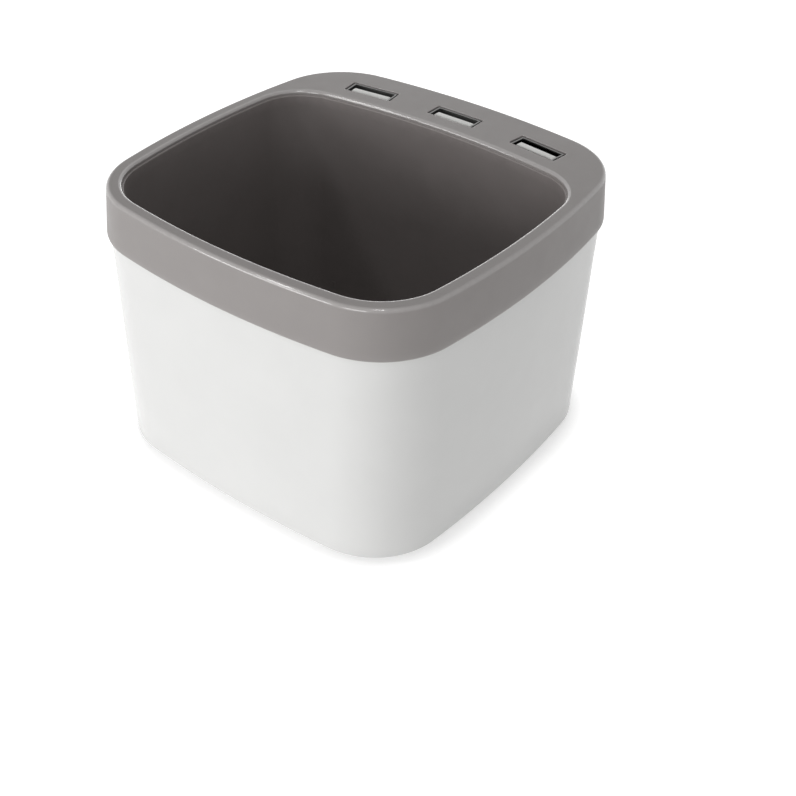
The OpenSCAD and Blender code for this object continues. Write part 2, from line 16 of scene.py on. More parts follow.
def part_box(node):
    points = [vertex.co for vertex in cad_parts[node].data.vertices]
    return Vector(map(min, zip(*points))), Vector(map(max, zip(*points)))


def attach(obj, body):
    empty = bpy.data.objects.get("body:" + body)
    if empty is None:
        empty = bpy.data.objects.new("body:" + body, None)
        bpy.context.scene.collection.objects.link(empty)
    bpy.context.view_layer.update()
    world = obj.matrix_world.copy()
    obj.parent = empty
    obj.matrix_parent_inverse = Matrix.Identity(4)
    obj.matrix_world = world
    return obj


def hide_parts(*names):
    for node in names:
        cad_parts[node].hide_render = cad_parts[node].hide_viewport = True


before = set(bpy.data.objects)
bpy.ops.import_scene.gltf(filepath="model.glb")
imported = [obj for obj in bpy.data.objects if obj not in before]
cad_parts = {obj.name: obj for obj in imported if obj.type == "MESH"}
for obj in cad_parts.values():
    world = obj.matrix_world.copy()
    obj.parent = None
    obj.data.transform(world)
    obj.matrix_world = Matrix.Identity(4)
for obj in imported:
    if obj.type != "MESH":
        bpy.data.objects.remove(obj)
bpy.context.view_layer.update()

bl_info = {
    "name": "Desk cup with socket shelf",
    "version": (1, 0, 0),
    "blender": (4, 5, 0),
    "location": "View3D > Sidebar > Desk cup",
    "description": "Makes the moulded pieces, small parts and studio of a desk cup with a socket shelf",
    "category": "Object",
}

MM = 0.001
BODY = "root"

# Segments of a corner arc, of a plain side arc and of an edge rounding
CORNER_STEPS = 36
SIDE_STEPS = 36
ROUND_STEPS = 8
# Width of the flat strip that separates a rounding from a flat face
STRIP = 0.12 * MM
# Radius at which a turned skin is closed by a flat face
CORE = 0.05 * MM
# Points closer than this are one point
MERGE = 0.002 * MM
# Edges over this angle stay sharp
SHARP = math.radians(32)

RIM_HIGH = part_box("rim")[1]
WALL_LOW, WALL_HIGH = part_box("outer_shell")
POCKET_LOW, POCKET_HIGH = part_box("pocket")
FOOT_LOW, FOOT_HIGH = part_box("foot_fr")
INLET_LOW, INLET_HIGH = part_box("inlet_shell")
SOCKET_LOW, SOCKET_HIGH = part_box("socket_shell_mid")

HALF = RIM_HIGH.x
TOP_Z = RIM_HIGH.z
FOOT_X = (FOOT_LOW.x + FOOT_HIGH.x) / 2
BOARD_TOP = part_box("hub_board")[1].z
INLET_Z = (INLET_LOW.z + INLET_HIGH.z) / 2
SOCKET_Y = (SOCKET_LOW.y + SOCKET_HIGH.y) / 2
SIDES = ("left", "mid", "right")


def length(name, default, description):
    """A size property in metres, with its default given in millimetres."""
    return FloatProperty(name=name, description=description, default=default * MM,
                         subtype="DISTANCE", unit="LENGTH", precision=5)


def colour(name, default, description):
    """A colour property."""
    return FloatVectorProperty(name=name, description=description, default=default,
                               subtype="COLOR", size=3, min=0, max=1)


class CupSizes(bpy.types.PropertyGroup):
    """Sizes of the moulded pieces."""

    side_r: length("Side radius", 230, "Radius of the gentle bulge of all four sides")
    corner_r: length("Corner radius", 21.5, "Radius of the upright corners at the rim")
    rim_h: length("Band height", 13.2, "Height of the grey band")
    rim_t: length("Band wall", 2, "Wall of the band")
    rim_draft: length("Band draft", 0.8, "How much the band narrows to the top")
    rim_top_r: length("Top edge radius", 1, "Radius of the outer top edge")
    rim_low_r: length("Lower edge radius", 0.9, "Radius of the outer lower edge")
    ledge_w: length("Ledge width", 3.85, "Width of the top beside the pocket")
    shelf_d: length("Shelf depth", 18.2, "Depth of the shelf behind the pocket")
    top_t: length("Plate", 2, "Thickness of the top plate")
    mouth_h: length("Mouth depth", 1.2, "Depth of the opening's edge above the pocket")
    mouth_r: length("Mouth radius", 0.8, "Radius of the opening's upper edge")
    opening_r: length("Opening corners", 14, "Radius of the opening's back corners")
    shell_t: length("Wall", 2, "Wall of the white cup")
    shell_step: length("Step", 0.9, "Step from the band in to the cup")
    shell_taper: length("Taper", 2.25, "How much the cup narrows on each side")
    shell_edge_r: length("Foot radius", 0.7, "Radius of the cup's lower edge")
    skirt_h: length("Skirt height", 0.9, "Height of the lower edge above the underside")
    skirt_in: length("Skirt depth", 2.2, "Inset of the underside from the lower edge")
    flatten_r: length("Flatter sides", 85, "Radius that the sides gain towards the foot")
    flatten_c: length("Softer corners", 1.6, "Radius that the corners gain towards the foot")
    flatten_z: length("Flattening height", 48, "Height below which sides and corners change")
    shell_floor_t: length("Floor", 2.2, "Thickness of the cup's floor")
    lip_gap: length("Lip gap", 0.1, "Clearance between the lip and the band")
    pocket_t: length("Pocket wall", 1.6, "Wall of the pocket")
    pocket_step: length("Pocket step", 0.4, "Step from the opening to the pocket wall")
    pocket_draft: length("Pocket draft", 2.4, "How much the pocket narrows")
    pocket_floor: length("Pocket floor", 9.6, "Height of the pocket's floor")
    pocket_floor_r: length("Pocket floor radius", 4, "Radius between wall and floor")


class SocketSizes(bpy.types.PropertyGroup):
    """Sizes of the sockets' cut-outs and of the cable inlet's recess."""

    pitch: length("Pitch", 26.6, "Distance between neighbouring sockets along the curve")
    back: length("Setback", 11.95, "Distance from the rim's back to a socket's middle")
    cut_w: length("Cut-out width", 14.4, "Width of a cut-out in the shelf")
    cut_h: length("Cut-out depth", 5.65, "Depth of a cut-out, front to back")
    cut_y: length("Cut-out setback", 0.68, "Middle of a cut-out from the socket's middle")
    cut_r: length("Cut-out corners", 0.5, "Radius of a cut-out's corners")
    lip_w: length("Mouth width", 13.4, "Width of the steel mouth of a socket")
    lip_h: length("Mouth depth", 5.92, "Depth of the steel mouth, front to back")
    block_w: length("Block width", 12.4, "Width of the insulator's block")
    block_d: length("Block depth", 5.02, "Depth of the insulator's block, front to back")
    block_h: length("Block height", 3.6, "Height of the insulator's block")
    tongue_w: length("Tongue width", 11.7, "Width of the tongue")
    tongue_t: length("Tongue thickness", 2, "Thickness of the tongue")
    tongue_x: length("Tongue offset", 0.3, "Middle of the tongue beside the socket's middle")
    tongue_y: length("Tongue setback", -0.22, "Middle of the tongue from the socket's middle")
    tongue_drop: length("Tongue drop", 0.3, "How far the tongue's tip lies below the top")
    tongue_tip: length("Tongue tip", 0.35, "Radius of the tongue's tip")
    boss_d: length("Boss", 5, "Diameter of the bosses that carry the board")
    boss_hole_d: length("Boss hole", 2, "Diameter of the hole in a boss")
    boss_back: length("Boss setback", 6.4, "Distance from the rim's back to a boss")
    recess_w: length("Recess width", 11.6, "Width of the recess around the inlet")
    recess_h: length("Recess height", 6.4, "Height of the recess around the inlet")
    recess_r: length("Recess corners", 1.4, "Radius of the recess's corners")
    recess_wall: length("Recess wall", 0.8, "Wall left behind the recess")
    slot_w: length("Slot width", 8.3, "Width of the slot for the inlet")
    slot_h: length("Slot height", 3.55, "Height of the slot for the inlet")
    slot_r: length("Slot corners", 0.8, "Radius of the slot's corners")


class CupColours(bpy.types.PropertyGroup):
    """Colours of the finishes."""

    white: colour("White shell", (0.755, 0.755, 0.745), "Glossy white plastic of the cup")
    grey: colour("Grey rim", (0.283, 0.264, 0.257), "Satin warm grey plastic of the rim")
    dark: colour("Pocket", (0.187, 0.168, 0.163), "Matt warm grey plastic of the pocket")
    steel: colour("Steel", (0.42, 0.42, 0.43), "Tin-plated steel of the sockets")
    dark_steel: colour("Socket steel", (0.17, 0.168, 0.167), "Dulled steel of the sockets")
    tongue: colour("Tongue", (0.83, 0.83, 0.81), "White insulator of the sockets")
    gold: colour("Contacts", (0.86, 0.62, 0.28), "Gold-plated contact strips")
    board: colour("Board", (0.02, 0.11, 0.05), "Solder mask of the board")
    black: colour("Black plastic", (0.018, 0.018, 0.019), "Chip body and inlet tongue")
    rubber: colour("Rubber", (0.03, 0.03, 0.031), "Feet")


def sizes():
    """The sizes of the moulded pieces."""
    return bpy.context.scene.cup_sizes


def ports():
    """The sizes of the cut-outs and the inlet."""
    return bpy.context.scene.socket_sizes


def colours():
    """The colours of the finishes."""
    return bpy.context.scene.cup_colours


# Outlines and sections

# Shares of the back arc, close together where the inlet's recess is
BACK_SHARES = np.concatenate([
    np.linspace(0, 0.37, 13)[1:-1], np.linspace(0.37, 0.63, 55), np.linspace(0.63, 1, 13)[1:-1]])
SIDE_SHARES = np.linspace(0, 1, SIDE_STEPS + 1)[1:-1]
CORNER_SHARES = np.linspace(0, 1, CORNER_STEPS + 1)


def angle_of(v):
    """Direction of a plane vector."""
    return math.atan2(v[1], v[0])


def corner_centre(c1, r1, c2, r2, sx, sy):
    """Where two circles round c1 and c2 meet, on the side that (sx, sy) points to.

    The distance d between the centres gives the foot of the common chord at
    (r1^2 - r2^2 + d^2) / 2d from c1, and half the chord is the other leg of r1.
    """
    v = c2 - c1
    d = math.hypot(*v)
    u = v / d
    foot = (r1 * r1 - r2 * r2 + d * d) / (2 * d)
    half_chord = math.sqrt(max(0.0, r1 * r1 - foot * foot))
    w = np.array([-u[1], u[0]])
    p, q = c1 + u * foot + w * half_chord, c1 + u * foot - w * half_chord
    return p if p @ (sx, sy) > q @ (sx, sy) else q


def arc(centre, radius, start, end, shares):
    """Points at shares of the arc from start to end, counter-clockwise: centre + radius (cos, sin)."""
    if end < start:
        end += 2 * math.pi
    t = start + (end - start) * shares
    return centre + radius * np.stack([np.cos(t), np.sin(t)], axis=1)


def outline(half, front, back, rs, rf, rb, cf, cb):
    """Closed line of four bulged sides and four round corners, counter-clockwise.

    Each side is an arc round a centre on the other side of the middle, each corner an arc
    that touches its two neighbours.
    """
    right, left = np.array([half - rs, 0.0]), np.array([rs - half, 0.0])
    near, far = np.array([0.0, front + rf]), np.array([0.0, back - rb])
    p1 = corner_centre(right, rs - cf, near, rf - cf, 1, -1)
    p2 = corner_centre(right, rs - cb, far, rb - cb, 1, 1)
    p3 = corner_centre(left, rs - cb, far, rb - cb, -1, 1)
    p4 = corner_centre(left, rs - cf, near, rf - cf, -1, -1)
    return np.concatenate([
        arc(p1, cf, angle_of(p1 - near), angle_of(p1 - right), CORNER_SHARES),
        arc(right, rs, angle_of(p1 - right), angle_of(p2 - right), SIDE_SHARES),
        arc(p2, cb, angle_of(p2 - right), angle_of(p2 - far), CORNER_SHARES),
        arc(far, rb, angle_of(p2 - far), angle_of(p3 - far), BACK_SHARES),
        arc(p3, cb, angle_of(p3 - far), angle_of(p3 - left), CORNER_SHARES),
        arc(left, rs, angle_of(p3 - left), angle_of(p4 - left), SIDE_SHARES),
        arc(p4, cf, angle_of(p4 - left), angle_of(p4 - near), CORNER_SHARES),
        arc(near, rf, angle_of(p4 - near), angle_of(p1 - near), SIDE_SHARES)])


def body_line(off):
    """The rim's widest outline, moved inwards by off."""
    s = sizes()
    r, c = s.side_r - off, s.corner_r - off
    return outline(HALF - off, off - HALF, HALF - off, r, r, r, c, c)


def wall_line(z, thick=0.0):
    """The white cup's outline at height z, moved inwards by thick.

    Below flatten_z the sides' and corners' radii grow evenly to the lower edge.
    """
    s = sizes()
    off = shell_off(z) + thick
    share = min(1, max(0, (s.flatten_z - z) / (s.flatten_z - edge_height())))
    r, c = s.side_r - off + share * s.flatten_r, s.corner_r - off + share * s.flatten_c
    return outline(HALF - off, off - HALF, HALF - off, r, r, r, c, c)


def edge_height():
    """Height of the cup's lower edge."""
    return WALL_LOW.z + sizes().skirt_h


def open_line(inset):
    """The pocket's opening in the rim, moved inwards by inset."""
    s = sizes()
    side, shelf = s.rim_draft + s.ledge_w + inset, s.rim_draft + s.shelf_d + inset
    r = s.side_r
    return outline(HALF - side, side - HALF, HALF - shelf, r - side, r - side, r - shelf,
                   s.corner_r - side, s.opening_r - inset)


def shell_off(z):
    """Inset of the white cup at height z, which grows evenly from the seam down to the edge."""
    s = sizes()
    seam = TOP_Z - s.rim_h
    return s.shell_step + s.shell_taper * (seam - z) / (seam - edge_height())


def pocket_off(z):
    """Inset of the pocket's inner wall from the opening at height z."""
    s = sizes()
    return s.pocket_step + s.pocket_draft * (POCKET_HIGH.z - z) / (POCKET_HIGH.z - s.pocket_floor)


def quarter(steps=ROUND_STEPS):
    """Angles of a quarter turn."""
    return np.linspace(0, math.pi / 2, steps + 1)


def round_up(off, z, r, steps=ROUND_STEPS, *polish_and_highlight):
    """Quarter round from a flat face at z to the wall at off: (off + r (1 - sin a), z + r (1 - cos a))."""
    return [(off + r * (1 - math.sin(a)), z + r * (1 - math.cos(a)), *polish_and_highlight) for a in quarter(steps)]


def round_in(off, z, r, steps=ROUND_STEPS, *polish_and_highlight):
    """Quarter round from the wall at off to a flat face at z: (off + r (1 - cos a), z - r (1 - sin a))."""
    return [(off + r * (1 - math.cos(a)), z - r * (1 - math.sin(a)), *polish_and_highlight) for a in quarter(steps)]


def rect_sdf(p, w, h, r):
    """Distance of points p from a rectangle w by h with corners of radius r, negative inside."""
    q = np.abs(p) - (w / 2 - r, h / 2 - r)
    return np.hypot(*np.maximum(q, 0).T) + np.minimum(q.max(axis=1), 0) - r


def rect_on_rays(rays, w, h, r):
    """Where rays from the middle leave a rounded rectangle, by halving the interval 30 times."""
    low, high = np.zeros(len(rays)), np.full(len(rays), 4 * max(w, h) / np.abs(rays).max())
    for _ in range(30):
        mid = (low + high) / 2
        inside = rect_sdf(rays * mid[:, None], w, h, r) < 0
        low, high = np.where(inside, mid, low), np.where(inside, high, mid)
    return rays * low[:, None]


def rect_line(w, h, r, steps=8):
    """Closed rounded rectangle, counter-clockwise, four corner arcs joined by straight runs."""
    shares = np.linspace(0, 1, steps + 1)
    corners = []
    for k, (sx, sy) in enumerate(((1, 1), (-1, 1), (-1, -1), (1, -1))):
        centre = np.array([sx * (w / 2 - r), sy * (h / 2 - r)])
        corners.append(arc(centre, r, k * math.pi / 2, (k + 1) * math.pi / 2, shares))
    return np.concatenate(corners)


def circle_line(r, steps=64):
    """Closed circle, counter-clockwise."""
    t = np.arange(steps) * 2 * math.pi / steps
    return r * np.stack([np.cos(t), np.sin(t)], axis=1)


def at_height(line, z):
    """The plane line as points at height z."""
    return np.column_stack([line, np.full(len(line), z)])


def on_curve(line, along, back):
    """Moves a plane line onto the shelf's curve, turned with it: along is the arc length."""
    s = sizes()
    radius = s.side_r - back
    a = -along / radius
    turn = np.array([[math.cos(a), math.sin(a)], [-math.sin(a), math.cos(a)]])
    return (line + (0, radius)) @ turn + (0, HALF - s.side_r)


def shaped(mesh, index, shape):
    """Moves a socket's points: shape takes and gives x along, y back and z of the whole array."""
    p = ports()
    points = np.empty(len(mesh.vertices) * 3)
    mesh.vertices.foreach_get("co", points)
    points = points.reshape(-1, 3)
    origin, right, back = on_curve(np.array([[0, 0], [1, 0], [0, 1]]), index * p.pitch, p.back)
    axes = np.array([right - origin, back - origin])
    local = np.column_stack([(points[:, :2] - origin) @ axes.T, points[:, 2]])
    local = shape(local)
    points = np.column_stack([local[:, :2] @ axes + origin, local[:, 2]])
    mesh.vertices.foreach_set("co", points.ravel())


# Meshes


class Surface:
    """Gathers grids and flat faces as whole arrays, with an edge-mask value for each point, where the
    finishes make edges glossier and paint a lighter highlight on them.
    """

    def __init__(self):
        self.points, self.polish_and_highlight, self.faces, self.count = [], [], [], 0

    def add(self, points, polish_and_highlight):
        """Adds points and returns the number of the first."""
        first = self.count
        self.points.append(np.asarray(points, float))
        self.polish_and_highlight.append(np.broadcast_to(np.asarray(polish_and_highlight, float), len(points)))
        self.count += len(points)
        return first

    def skin(self, rings, polish_and_highlight=None, gap=None):
        """Joins closed rings of equal counts in order: face (i, j) spans rings i and i + 1.

        The edge mask, which marks glossier edges with a painted highlight, gives one value for each ring, and
        gap the cells (i0, i1, j0, j1) that stay open.
        wear gives one value for each ring, gap the cells (i0, i1, j0, j1) that stay open.
        """
        m, n = len(rings), len(rings[0])
        first = self.add(np.concatenate(rings), 0 if polish_and_highlight is None else np.repeat(polish_and_highlight, n))
        i, j = np.meshgrid(np.arange(m - 1), np.arange(n), indexing="ij")
        k = (j + 1) % n
        cells = np.stack([i * n + j, i * n + k, (i + 1) * n + k, (i + 1) * n + j], axis=-1)
        keep = np.ones((m - 1, n), bool)
        if gap:
            keep[gap[0]:gap[1], gap[2]:gap[3]] = False
        self.faces += (cells[keep] + first).tolist()

    def flat(self, loops, up):
        """Fills a flat face between its first loop and the holes that the others cut in it."""
        first = self.add(np.concatenate(loops), 0)
        points = np.concatenate(loops)
        tris = np.array(tessellate_polygon([loop.tolist() for loop in loops]))
        a, b, c = (points[tris[:, k]] for k in range(3))
        turned = (np.cross(b - a, c - a)[:, 2] > 0) != up
        tris[turned] = tris[turned][:, ::-1]
        self.faces += (tris + first).tolist()

    def closed(self, rings, polish_and_highlight=None):
        """Skin over the rings, closed by a flat face below its first ring and above its last."""
        self.skin(rings, polish_and_highlight)
        self.flat([rings[0]], False)
        self.flat([rings[-1]], True)

    def piece(self, name, finish, slot, *nodes):
        """Makes the object, merges equal points and lets it stand for the CAD nodes."""
        mesh = bpy.data.meshes.new(name)
        mesh.from_pydata(np.concatenate(self.points).tolist(), [], self.faces)
        polish_and_highlight = mesh.attributes.new("polish_and_highlight", "FLOAT", "POINT")
        polish_and_highlight.data.foreach_set("value", np.concatenate(self.polish_and_highlight).astype(np.float32))
        merged(mesh)
        return placed(name, mesh, finish, slot, *nodes)


def merged(mesh):
    """Makes points that lie together one point."""
    bm = bmesh.new()
    bm.from_mesh(mesh)
    bmesh.ops.remove_doubles(bm, verts=bm.verts, dist=MERGE)
    bm.to_mesh(mesh)
    bm.free()


def linked(name, data):
    """A new object in the scene."""
    made = bpy.data.objects.new(name, data)
    bpy.context.scene.collection.objects.link(made)
    return made


def placed(name, mesh, finish, slot, *nodes):
    """Puts a finished mesh into the scene, smooth but for edges over 32 degrees."""
    mesh.shade_smooth()
    mesh.set_sharp_from_angle(angle=SHARP)
    mesh.materials.clear()
    mesh.materials.append(finish)
    piece = linked(name, mesh)
    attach(piece, BODY)
    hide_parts(*nodes)
    return piece


def softened(name, node, finish, slot, edge, segments=2, index=0, shape=None):
    """A copy of a CAD node whose triangles are merged into flat faces and whose edges are rounded."""
    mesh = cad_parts[node].data.copy()
    mesh.name = name
    if shape:
        shaped(mesh, index, shape)
    bm = bmesh.new()
    bm.from_mesh(mesh)
    bmesh.ops.remove_doubles(bm, verts=bm.verts, dist=MERGE)
    bmesh.ops.dissolve_limit(bm, angle_limit=math.radians(1), verts=bm.verts, edges=bm.edges)
    bm.to_mesh(mesh)
    bm.free()
    piece = placed(name, mesh, finish, slot, node)
    bevel = piece.modifiers.new("edges", "BEVEL")
    bevel.width = edge
    bevel.segments = segments
    bevel.limit_method = "ANGLE"
    bevel.angle_limit = SHARP
    bevel.harden_normals = True
    return piece


# Finishes


class Finish:
    """A procedural material on Object coordinates, built up step by step."""

    def __init__(self, name, rough, metallic=0.0, specular=0.5):
        self.material = bpy.data.materials.new(name)
        self.material.use_nodes = True
        self.nodes, self.links = self.material.node_tree.nodes, self.material.node_tree.links
        self.shader = self.nodes["Principled BSDF"]
        self.shader.inputs["Roughness"].default_value = rough
        self.shader.inputs["Metallic"].default_value = metallic
        self.shader.inputs["Specular IOR Level"].default_value = specular
        self.place = self.nodes.new("ShaderNodeTexCoord").outputs["Object"]
        self.rough = rough

    def node(self, kind, **values):
        """Adds a node and sets its named inputs or properties."""
        made = self.nodes.new(kind)
        for key, value in values.items():
            if key in made.inputs:
                self.feed(made.inputs[key], value)
            else:
                setattr(made, key, value)
        return made

    def feed(self, socket, value):
        """Links an output, or sets a value."""
        if isinstance(value, bpy.types.NodeSocket):
            self.links.new(value, socket)
        else:
            socket.default_value = value

    def noise(self, size, detail=3.0, stretch=None):
        """Noise whose grains are about size long, stretched by a Mapping node if asked."""
        place = self.place
        if stretch:
            place = self.node("ShaderNodeMapping", Vector=place, Scale=stretch).outputs["Vector"]
        return self.node("ShaderNodeTexNoise", Vector=place, Scale=1 / size, Detail=detail,
                         Roughness=0.55).outputs["Fac"]

    def cells(self, size):
        """Distance from the nearest point of a random pattern about size apart."""
        return self.node("ShaderNodeTexVoronoi", Vector=self.place, Scale=1 / size).outputs["Distance"]

    def ranged(self, source, start, end, low=0, high=1):
        """Maps start to end onto low to high."""
        values = {"Value": source, "From Min": start, "From Max": end, "To Min": low, "To Max": high}
        return self.node("ShaderNodeMapRange", **values).outputs["Result"]

    def spread(self, source, low, high):
        """Maps a texture's middle range onto low to high."""
        return self.ranged(source, 0.3, 0.7, low, high)

    def mix(self, share, first, second):
        """Colour between first and second."""
        made = self.nodes.new("ShaderNodeMix")
        made.data_type = "RGBA"
        self.feed(made.inputs[0], share)
        self.feed(made.inputs[6], first)
        self.feed(made.inputs[7], second)
        return made.outputs[2]

    def math(self, kind, first, second):
        """Arithmetic on two values."""
        made = self.nodes.new("ShaderNodeMath")
        made.operation = kind
        self.feed(made.inputs[0], first)
        self.feed(made.inputs[1], second)
        return made.outputs[0]

    def polish_and_highlight(self):
        """The piece's edge mask, 1 on rounded edges that are made glossier and painted lighter as a
        highlight.
        """
        made = self.nodes.new("ShaderNodeAttribute")
        made.attribute_name = "polish_and_highlight"
        return made.outputs["Fac"]

    def paint(self, base, depth, size, edge_gain=None):
        """Base colour with a faint cloudiness, and a lighter tone painted along the masked rounded edges as a
        highlight.
        """
        dark = tuple(c * (1 - depth) for c in base) + (1,)
        light = tuple(min(1, c * (1 + depth)) for c in base) + (1,)
        tone = self.mix(self.spread(self.noise(size), 0, 1), dark, light)
        if edge_gain:
            # Painted highlight: the edges get the base colour made lighter, mixed in where the edge mask is
            # high.
            edge = tuple(min(1, c * edge_gain) for c in base) + (1,)
            painted_highlight_share = self.math("MULTIPLY", self.polish_and_highlight(), self.spread(self.noise(size / 6), 0.4, 1))
            tone = self.mix(painted_highlight_share, tone, edge)
        self.links.new(tone, self.shader.inputs["Base Color"])

    def sheen_range(self, depth, size, edge_gain=0.0):
        """Roughness that drifts by depth, and is lower along the masked rounded edges."""
        rough = self.spread(self.noise(size), self.rough - depth, self.rough + depth)
        if edge_gain:
            rough = self.math("SUBTRACT", rough, self.math("MULTIPLY", self.polish_and_highlight(), edge_gain))
        self.links.new(rough, self.shader.inputs["Roughness"])

    def polish(self, rough, ior):
        """Smooth glossy skin on the masked rounded edges alone."""
        self.links.new(self.polish_and_highlight(), self.shader.inputs["Coat Weight"])
        self.shader.inputs["Coat Roughness"].default_value = rough
        self.shader.inputs["Coat IOR"].default_value = ior

    def relief(self, height, depth):
        """Bump from a height output, depth in metres."""
        bump = self.node("ShaderNodeBump", Height=height)
        bump.inputs["Strength"].default_value = 1
        bump.inputs["Distance"].default_value = depth
        self.links.new(bump.outputs["Normal"], self.shader.inputs["Normal"])

    def two_grains(self, coarse, fine, share):
        """A coarse noise with a share of a fine one."""
        return self.math("ADD", self.noise(coarse), self.math("MULTIPLY", self.noise(fine, 2), share))


def white_gloss():
    """Moulded glossy white plastic with the faint waviness of a polished mould."""
    f = Finish("white_gloss_plastic", 0.24)
    # A lighter tone is painted on the masked edges as a highlight: the thin bright line under the rim, the
    # lower edge and the inlet's recess.
    f.paint(colours().white, 0.012, 14 * MM, 1.2)
    f.sheen_range(0.03, 5 * MM, 0.04)
    f.relief(f.two_grains(5 * MM, 0.35 * MM, 0.06), 0.012 * MM)
    return f.material


def grey_satin():
    """Warm grey plastic with a fine spark-eroded grain, smoother and glossier along the rounded edges, where
    a lighter tone is painted on as a highlight.
    """
    f = Finish("warm_grey_satin_plastic", 0.46, specular=0.5)
    f.polish(0.08, 1.8)
    f.paint(colours().grey, 0.02, 9 * MM, 1.2)
    f.sheen_range(0.03, 4 * MM, 0.05)
    f.relief(f.two_grains(1.2 * MM, 0.3 * MM, 0.3), 0.0016 * MM)
    return f.material


def pocket_matt():
    """The pocket's matt inside, with a coarser grain than the rim."""
    f = Finish("pocket_matt_plastic", 0.5)
    # A lighter tone is painted on the masked edges of the pocket's mouth as a highlight.
    f.paint(colours().dark, 0.035, 12 * MM, 1.25)
    f.sheen_range(0.05, 5 * MM, 0.12)
    f.relief(f.two_grains(1.2 * MM, 0.22 * MM, 0.9), 0.012 * MM)
    return f.material


def rubber_matt():
    """Black rubber with a dusty, pitted skin."""
    f = Finish("foot_rubber", 0.78, specular=0.3)
    f.paint(colours().rubber, 0.25, 2 * MM)
    f.sheen_range(0.08, 1 * MM)
    f.relief(f.two_grains(0.6 * MM, 0.12 * MM, 0.8), 0.03 * MM)
    return f.material


def plated_steel(name, base, rough, stretch):
    """Rolled and plated sheet with fine lines along one direction."""
    f = Finish(name, rough, metallic=1.0)
    f.paint(base, 0.06, 1.5 * MM)
    lines = f.noise(0.08 * MM, 2.0, stretch)
    f.links.new(f.spread(lines, rough - 0.07, rough + 0.1), f.shader.inputs["Roughness"])
    f.relief(lines, 0.002 * MM)
    return f.material


def moulded(name, base, rough, grain):
    """Small moulded parts with a light grain."""
    f = Finish(name, rough)
    f.paint(base, 0.04, 2 * MM)
    f.sheen_range(0.05, 0.8 * MM)
    f.relief(f.two_grains(0.5 * MM, 0.1 * MM, 0.6), grain)
    return f.material


def board_mask():
    """Solder mask over copper: paler where the copper lies under it, with rounded islands."""
    f = Finish("board_solder_mask", 0.3)
    base = colours().board
    copper = tuple(min(1, c * 2.1 + 0.01) for c in base) + (1,)
    tone = f.mix(f.ranged(f.cells(2.4 * MM), 0.34, 0.38), copper, tuple(base) + (1,))
    f.links.new(tone, f.shader.inputs["Base Color"])
    f.sheen_range(0.05, 1.5 * MM)
    f.relief(f.two_grains(0.8 * MM, 0.1 * MM, 0.4), 0.01 * MM)
    return f.material


# Moulded pieces


def wall_window(heights):
    """Rows and columns of the wall's grid that the inlet's patch takes the place of."""
    p = ports()
    line = body_line(0)
    beside, above = 1.6 * MM, 0.6 * MM
    columns = np.flatnonzero((np.abs(line[:, 0]) < p.recess_w / 2 + beside) & (line[:, 1] > 0))
    rows = np.flatnonzero(np.abs(heights - INLET_Z) < p.recess_h / 2 + above)
    return rows[0], rows[-1], columns[0], columns[-1]


def window_loop(heights, window, thick):
    """The window's border on the outer wall moved inwards by thick, as one closed loop."""
    i0, i1, j0, j1 = window
    across, along = np.arange(j0, j1), np.arange(i0, i1)
    i = np.concatenate([np.full(j1 - j0, i0), along, np.full(j1 - j0, i1), along[::-1] + 1])
    j = np.concatenate([across, np.full(i1 - i0, j1), across[::-1] + 1, np.full(i1 - i0, j0)])
    rows = np.array([wall_line(z, thick) for z in heights[i0:i1 + 1]])
    return np.column_stack([rows[i - i0, j], heights[i]])


def back_wall(flat, off):
    """Points (x, z) laid onto the back wall: y lies on the circle of radius side_r - off(z)."""
    radius = sizes().side_r - off(flat[:, 1])
    y = HALF - sizes().side_r + np.sqrt(radius ** 2 - flat[:, 0] ** 2)
    return np.column_stack([flat[:, 0], y, flat[:, 1]])


def inlet_patch(surface, heights, window):
    """Recess with rounded edges and the slot in its floor, from the outer wall to the inner one.

    All rings share the rays from the inlet's middle to the window's border, so they have
    equal counts, and each ring is the rounded rectangle that its rays meet.
    """
    s, p = sizes(), ports()
    border = window_loop(heights, window, 0)
    inner_border = window_loop(heights, window, s.shell_t)
    middle = np.array([0, INLET_Z])
    rays = border[:, [0, 2]] - middle
    floor_y = HALF - shell_off(INLET_Z) - s.shell_t + p.recess_wall
    edge, low_r, slot_edge = 0.35 * MM, 0.25 * MM, 0.12 * MM

    def recess(grow):
        return rect_on_rays(rays, p.recess_w + 2 * grow, p.recess_h + 2 * grow, p.recess_r + grow) + middle

    def slot(grow):
        return rect_on_rays(rays, p.slot_w + 2 * grow, p.slot_h + 2 * grow, p.slot_r + grow) + middle

    rings, polish_and_highlight = [border], [0]
    outer = recess(edge + STRIP)
    for share in (0.33, 0.67, 1):
        rings.append(back_wall(middle + rays * (1 - share) + (outer - middle) * share, shell_off))
        polish_and_highlight.append(0)
    # The recess's rounded edge gets the edge mask at 0.6: polish and a painted highlight.
    for a in quarter():
        ring = back_wall(recess(edge * (1 - math.sin(a))), shell_off)
        ring[:, 1] -= edge * (1 - math.cos(a))
        rings.append(ring)
        polish_and_highlight.append(0.6)
    for a in quarter(4):
        flat = recess(-low_r * (1 - math.cos(a)))
        rings.append(np.column_stack([flat[:, 0], np.full(len(flat), floor_y + low_r * (1 - math.sin(a))),
                                      flat[:, 1]]))
        polish_and_highlight.append(0)
    for a in quarter(4):
        flat = slot(slot_edge * (1 - math.sin(a)))
        rings.append(np.column_stack([flat[:, 0], np.full(len(flat), floor_y - slot_edge * (1 - math.cos(a))),
                                      flat[:, 1]]))
        polish_and_highlight.append(0)
    rings.append(back_wall(slot(0), lambda z: shell_off(z) + s.shell_t))
    rings.append(inner_border)
    surface.skin(rings, polish_and_highlight + [0, 0])


